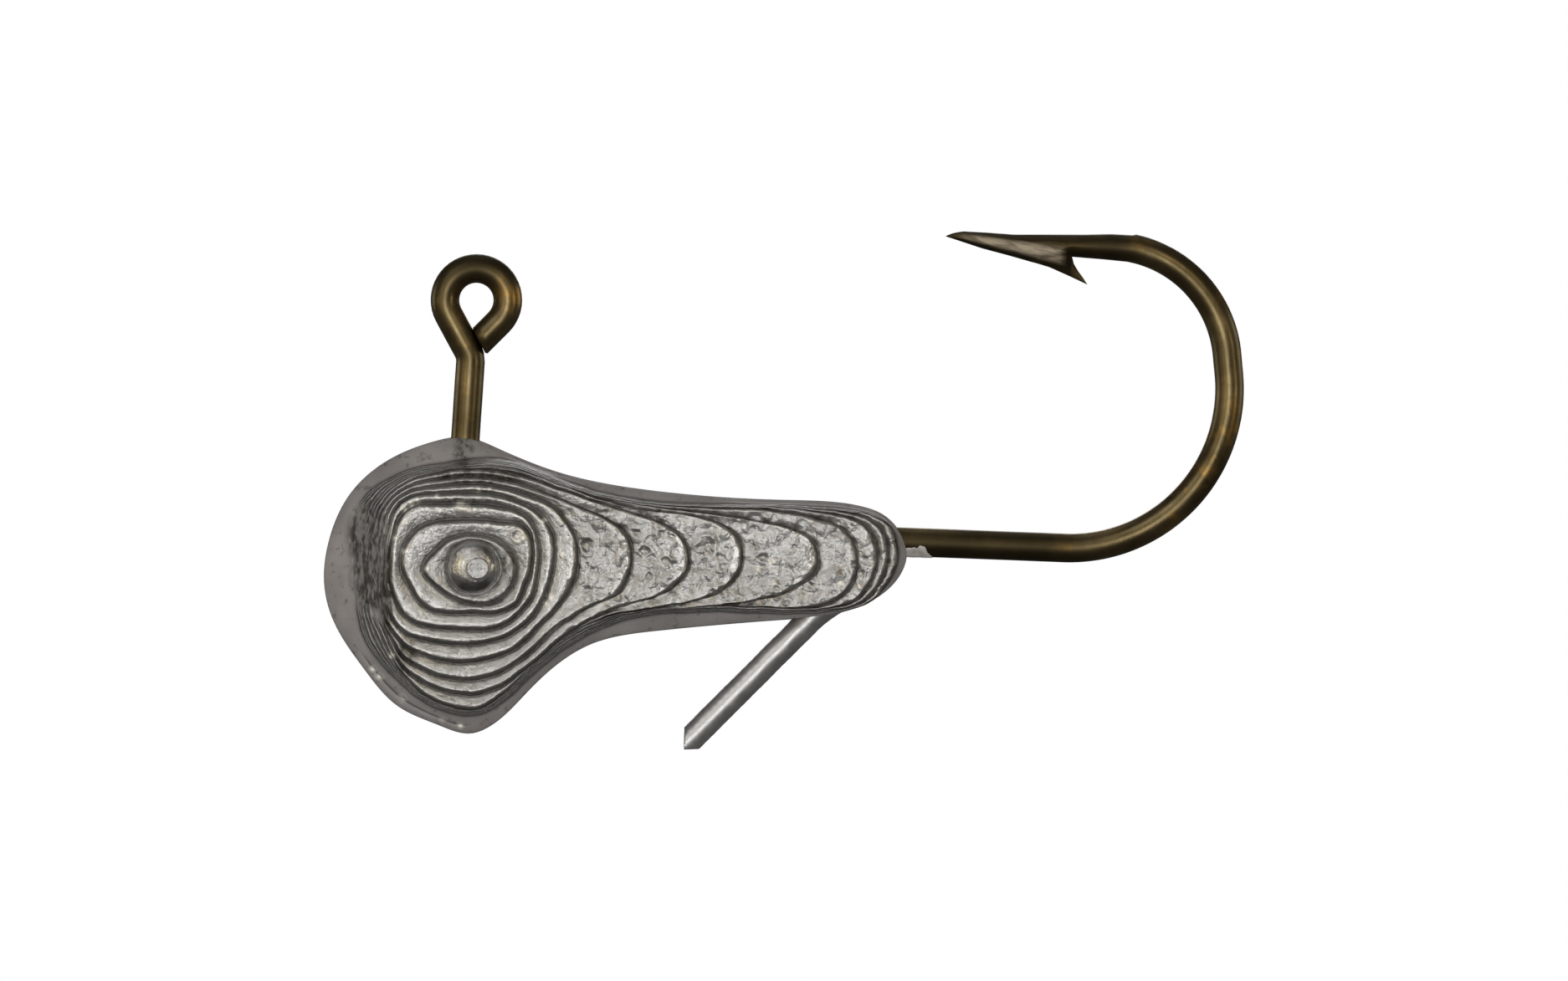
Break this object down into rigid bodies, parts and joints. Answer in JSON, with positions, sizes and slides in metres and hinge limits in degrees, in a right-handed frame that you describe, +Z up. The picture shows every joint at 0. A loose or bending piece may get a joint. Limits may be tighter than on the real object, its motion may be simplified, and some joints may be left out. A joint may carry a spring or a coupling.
{
  "type": "jig head",
  "caption": "Fish-shaped lead jig head with stepped relief and eye, cast on a right-angle wire hook with line-tie eye, barbed point and a slanted bait spike.",
  "frame": {"origin": "centre of the line-tie eye", "axes": "+X from the head to the hook bend, +Y across the thickness along the axis of the line-tie eye, +Z up"},
  "size_m": [0.0363, 0.009, 0.0204],
  "materials": {
    "cast_lead": "bare cast lead, semi-bright",
    "keeper_lead": "bare cast lead, bright",
    "bronze_wire": "dark bronze lacquer on steel wire"
  },
  "bodies": {
    "root": {"lead_head": "cast_lead", "bait_keeper": "keeper_lead", "jig_hook": "bronze_wire"}
  },
  "joints": []
}
